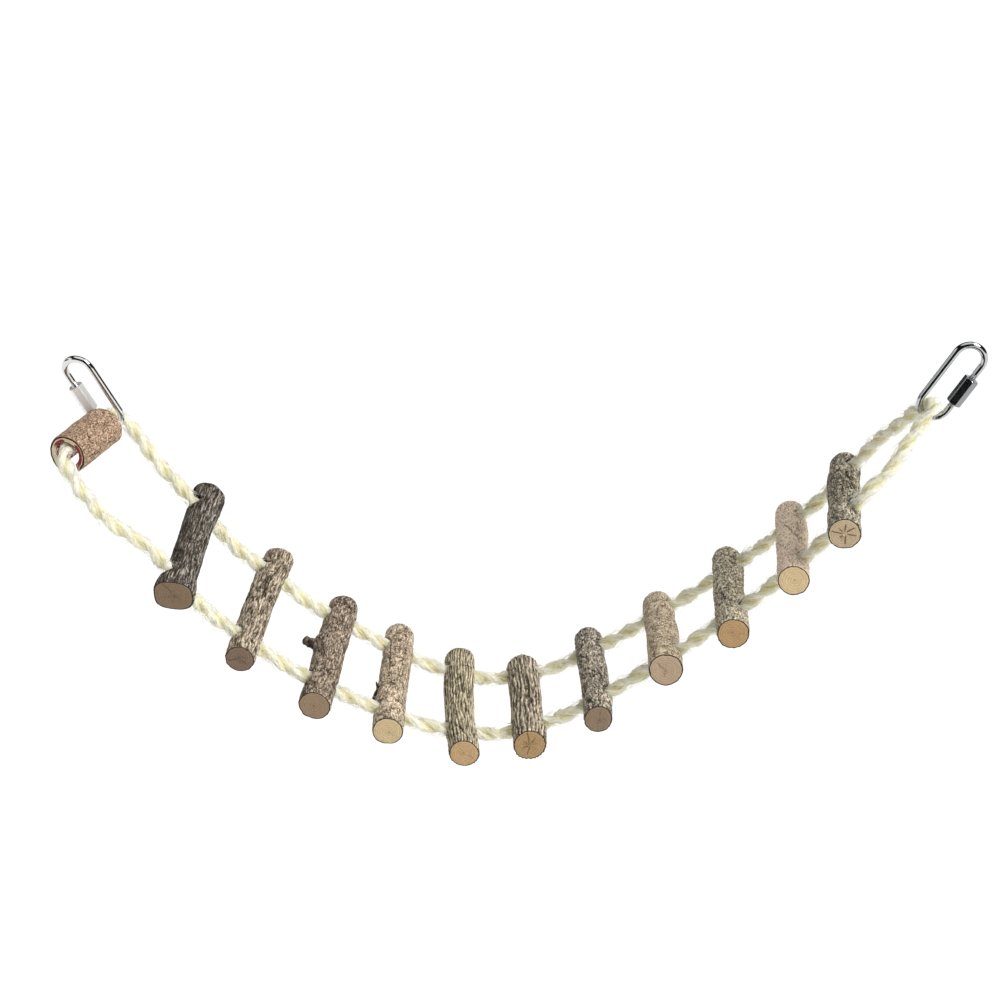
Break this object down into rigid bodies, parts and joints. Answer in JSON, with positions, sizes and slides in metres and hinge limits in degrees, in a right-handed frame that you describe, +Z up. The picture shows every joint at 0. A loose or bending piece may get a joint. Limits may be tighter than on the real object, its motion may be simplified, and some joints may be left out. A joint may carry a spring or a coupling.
{
  "type": "branch rung rope ladder",
  "caption": "Small hanging ladder of natural branch rungs drilled and threaded on two twisted sisal ropes, with a half-log sleeve and a quick link at each end.",
  "frame": {"origin": "middle of the left quick link's eye, where a hook holds the ladder", "axes": "+X along the ladder from left to right, +Y across it from the near to the far rope, +Z up"},
  "size_m": [0.4178, 0.0839, 0.1959],
  "materials": {
    "bark_dark": "matte",
    "bark_brown": "matte",
    "bark_tan": "matte",
    "bark_grey": "matte",
    "sleeve_bark": "matte",
    "rope": "matte",
    "link_steel": "polished",
    "nut_steel": "polished"
  },
  "bodies": {
    "step_06": {"rung_06": "bark_grey", "front_rope_06": "rope", "back_rope_06": "rope"},
    "step_05": {"rung_05": "bark_grey", "front_rope_05": "rope", "back_rope_05": "rope"},
    "step_04": {"rung_04": "bark_tan", "front_rope_04": "rope", "back_rope_04": "rope"},
    "step_03": {"rung_03": "bark_brown", "front_rope_03": "rope", "back_rope_03": "rope"},
    "step_02": {"rung_02": "bark_brown", "front_rope_02": "rope", "back_rope_02": "rope"},
    "step_01": {"rung_01": "bark_dark", "front_rope_01": "rope", "back_rope_01": "rope"},
    "step_07": {"rung_07": "bark_dark", "front_rope_07": "rope", "back_rope_07": "rope"},
    "step_08": {"rung_08": "bark_tan", "front_rope_08": "rope", "back_rope_08": "rope"},
    "step_09": {"rung_09": "bark_grey", "front_rope_09": "rope", "back_rope_09": "rope"},
    "step_10": {"rung_10": "bark_tan", "front_rope_10": "rope", "back_rope_10": "rope"},
    "step_11": {"rung_11": "bark_dark", "front_rope_11": "rope", "back_rope_11": "rope"},
    "left_end": {"left_bight": "rope", "sleeve_log": "sleeve_bark"},
    "right_end": {"right_bight": "rope"},
    "left_link": {"left_link": "link_steel"},
    "left_nut": {"left_nut": "nut_steel"},
    "right_link": {"right_link": "link_steel"},
    "right_nut": {"right_nut": "nut_steel"}
  },
  "joints": [
    {"name": "bend_05", "type": "hinge", "parent": "step_06", "child": "step_05", "pos_m": [0.1821, -0.01841, -0.15827], "axis": [-0.0436, 0.9989, -0.0175], "range_deg": [-53, 9]},
    {"name": "bend_04", "type": "hinge", "parent": "step_05", "child": "step_04", "pos_m": [0.14983, -0.01841, -0.15141], "axis": [0, 0.9986, 0.0523], "range_deg": [-41, 7]},
    {"name": "bend_03", "type": "hinge", "parent": "step_04", "child": "step_03", "pos_m": [0.11953, -0.01841, -0.13598], "axis": [0.0782, 0.9931, 0.0872], "range_deg": [-31, 17]},
    {"name": "bend_02", "type": "hinge", "parent": "step_03", "child": "step_02", "pos_m": [0.08985, -0.01841, -0.11743], "axis": [0.147, 0.9836, 0.1045], "range_deg": [-35, 13]},
    {"name": "bend_01", "type": "hinge", "parent": "step_02", "child": "step_01", "pos_m": [0.05513, -0.01841, -0.08725], "axis": [0.146, 0.9768, 0.1564], "range_deg": [-39, 9]},
    {"name": "left_end_bend", "type": "hinge", "parent": "step_01", "child": "left_end", "pos_m": [0.02927, -0.01841, -0.05165], "axis": [0.0849, 0.9707, 0.225], "range_deg": [-20, 20]},
    {"name": "bend_06", "type": "hinge", "parent": "step_06", "child": "step_07", "pos_m": [0.21301, -0.01841, -0.14999], "axis": [0.0261, -0.9972, 0.0698], "range_deg": [-43, 5]},
    {"name": "bend_07", "type": "hinge", "parent": "step_07", "child": "step_08", "pos_m": [0.24609, -0.01841, -0.12932], "axis": [0.0174, -0.9944, 0.1045], "range_deg": [-30, 18]},
    {"name": "bend_08", "type": "hinge", "parent": "step_08", "child": "step_09", "pos_m": [0.27764, -0.01841, -0.1064], "axis": [-0.0347, -0.9948, 0.0958], "range_deg": [-29, 19]},
    {"name": "bend_09", "type": "hinge", "parent": "step_09", "child": "step_10", "pos_m": [0.30795, -0.01841, -0.08186], "axis": [-0.0956, -0.993, 0.0698], "range_deg": [-32, 16]},
    {"name": "bend_10", "type": "hinge", "parent": "step_10", "child": "step_11", "pos_m": [0.3327, -0.01841, -0.05711], "axis": [-0.1215, -0.9895, 0.0785], "range_deg": [-34, 14]},
    {"name": "right_end_bend", "type": "hinge", "parent": "step_11", "child": "right_end", "pos_m": [0.35316, -0.01841, -0.02995], "axis": [-0.156, -0.9846, 0.0785], "range_deg": [-20, 20]},
    {"name": "left_link_swing", "type": "hinge", "parent": "left_end", "child": "left_link", "pos_m": [0.00525, 0.0015, -0.01125], "axis": [0.3551, 0.9348, 0], "range_deg": [-28, 35]},
    {"name": "right_link_swing", "type": "hinge", "parent": "right_end", "child": "right_link", "pos_m": [0.37999, -0.01841, 0.00322], "axis": [0, 1, 0], "range_deg": [-35, 35]},
    {"name": "left_nut_travel", "type": "slide", "parent": "left_link", "child": "left_nut", "axis": [-0.4198, -0.12, 0.8996], "range_m": [0, 0.0065]},
    {"name": "right_nut_travel", "type": "slide", "parent": "right_link", "child": "right_nut", "axis": [0.5239, 0, 0.8518], "range_m": [0, 0.0065]}
  ]
}
